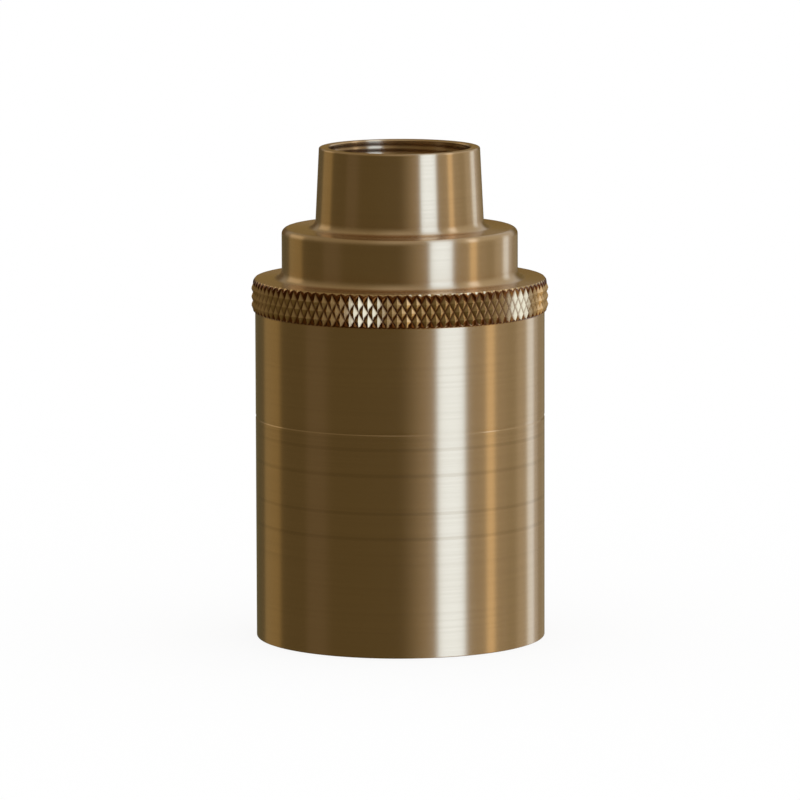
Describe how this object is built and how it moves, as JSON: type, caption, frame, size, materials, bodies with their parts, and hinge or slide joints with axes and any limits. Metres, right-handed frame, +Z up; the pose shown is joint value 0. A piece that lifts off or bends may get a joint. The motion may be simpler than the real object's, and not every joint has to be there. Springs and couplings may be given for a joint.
{
  "type": "lamp holder",
  "caption": "Turned brass screw lamp holder with a knurled shoulder, stepped cap, threaded neck and porcelain insert.",
  "frame": {"origin": "centre of the bottom rim, the face the lamp screws in through", "axes": "+Z up along the holder's axis towards the neck, -Y towards the viewer of the picture, the line terminal at -X and the earth terminal at +Y"},
  "size_m": [0.0482, 0.0482, 0.08],
  "materials": {
    "brass": "satin turned, lacquered",
    "terminal_brass": "machined, bare",
    "nickel": "nickel plated",
    "bronze": "rolled phosphor bronze",
    "zinc": "zinc plated",
    "steel": "oiled spring steel",
    "porcelain": "fired, unglazed to semi-matt",
    "fibre": "vulcanised fibre"
  },
  "bodies": {
    "sleeve": {"lower_sleeve": "brass"},
    "ring": {"porcelain_ring": "porcelain"},
    "holder": {"cap": "brass", "porcelain_insert": "porcelain", "fibre_washer": "fibre", "retaining_clip": "steel", "locating_pin": "steel", "screw_shell": "nickel", "shell_rivet_neutral": "nickel", "shell_rivet_left": "nickel", "shell_rivet_right": "nickel", "contact_strip": "bronze", "contact_rivet": "nickel", "line_terminal": "terminal_brass", "neutral_terminal": "terminal_brass", "earth_terminal": "terminal_brass"},
    "contact": {"contact_button": "nickel"},
    "line_plate": {"line_clamp_plate": "nickel"},
    "line_screw_body": {"line_screw": "zinc"},
    "neutral_plate": {"neutral_clamp_plate": "nickel"},
    "neutral_screw_body": {"neutral_screw": "zinc"},
    "earth_plate": {"earth_clamp_plate": "nickel"},
    "earth_screw_body": {"earth_screw": "zinc"}
  },
  "joints": [
    {"name": "cap_unscrew", "type": "hinge", "parent": "sleeve", "child": "ring", "pos_m": [0, 0, 0.0361], "axis": [0, 0, 1], "range_deg": [0, 1260]},
    {"name": "cap_lift", "type": "slide", "parent": "ring", "child": "holder", "axis": [0, 0, 1], "range_m": [0, 0.00525]},
    {"name": "contact_press", "type": "slide", "parent": "holder", "child": "contact", "axis": [0, 0, 1], "range_m": [0, 0.0016], "stiffness_N_per_m": 2000, "deforming": ["contact_strip"]},
    {"name": "line_plate_lift", "type": "slide", "parent": "holder", "child": "line_plate", "axis": [0, 0, 1], "range_m": [0, 0.0016]},
    {"name": "line_screw_turn", "type": "hinge", "parent": "line_plate", "child": "line_screw_body", "pos_m": [-0.011, 0, 0.04], "axis": [0, 0, 1], "range_deg": [0, 1152.1]},
    {"name": "neutral_plate_lift", "type": "slide", "parent": "holder", "child": "neutral_plate", "axis": [0, 0, 1], "range_m": [0, 0.0016]},
    {"name": "neutral_screw_turn", "type": "hinge", "parent": "neutral_plate", "child": "neutral_screw_body", "pos_m": [0.00755, 0, 0.04], "axis": [0, 0, 1], "range_deg": [0, 1152.1]},
    {"name": "earth_plate_lift", "type": "slide", "parent": "holder", "child": "earth_plate", "axis": [0, 0, 1], "range_m": [0, 0.0016]},
    {"name": "earth_screw_turn", "type": "hinge", "parent": "earth_plate", "child": "earth_screw_body", "pos_m": [0, 0.0114, 0.049], "axis": [0, 0, 1], "range_deg": [0, 1152.1]}
  ],
  "couplings": [
    {"joint": "cap_lift", "follows": "cap_unscrew", "m_per_rad": 0.00023873},
    {"joint": "line_screw_turn", "follows": "line_plate_lift", "rad_per_m": 12566},
    {"joint": "neutral_screw_turn", "follows": "neutral_plate_lift", "rad_per_m": 12566},
    {"joint": "earth_screw_turn", "follows": "earth_plate_lift", "rad_per_m": 12566}
  ]
}
